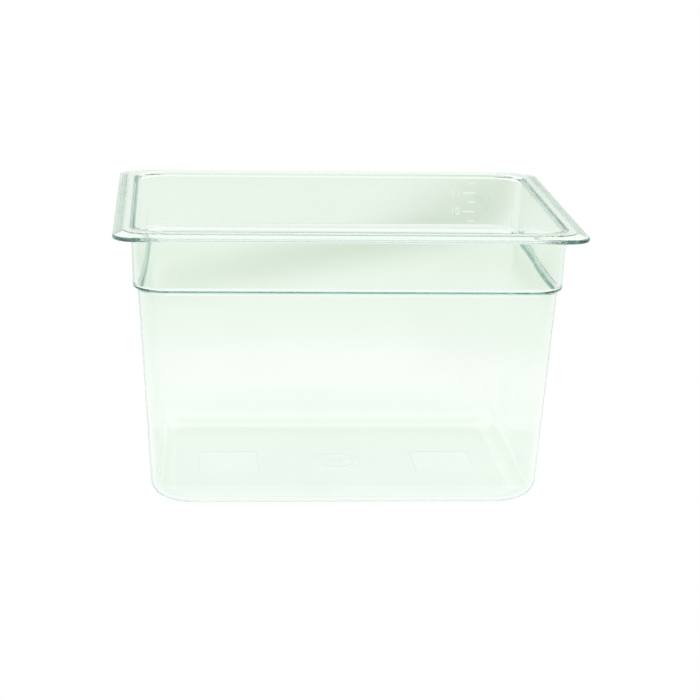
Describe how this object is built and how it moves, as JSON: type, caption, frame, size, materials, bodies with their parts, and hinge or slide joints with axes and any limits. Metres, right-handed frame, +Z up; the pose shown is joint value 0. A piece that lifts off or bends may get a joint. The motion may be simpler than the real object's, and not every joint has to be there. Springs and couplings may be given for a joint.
{
  "type": "deli food pan",
  "caption": "Clear half-size gastronorm food pan, deep, with tapered walls, a stacking shoulder and a flat flange that hangs in a counter opening.",
  "frame": {"origin": "centre of the underside, on the plane the pan stands on", "axes": "+X along the long side, +Y along the short side towards the back, +Z up out of the mouth"},
  "size_m": [0.325, 0.265, 0.2],
  "materials": {
    "clear_polycarbonate": "clear, glossy, faintly green"
  },
  "bodies": {
    "root": {"pan_body": "clear_polycarbonate"}
  },
  "joints": []
}
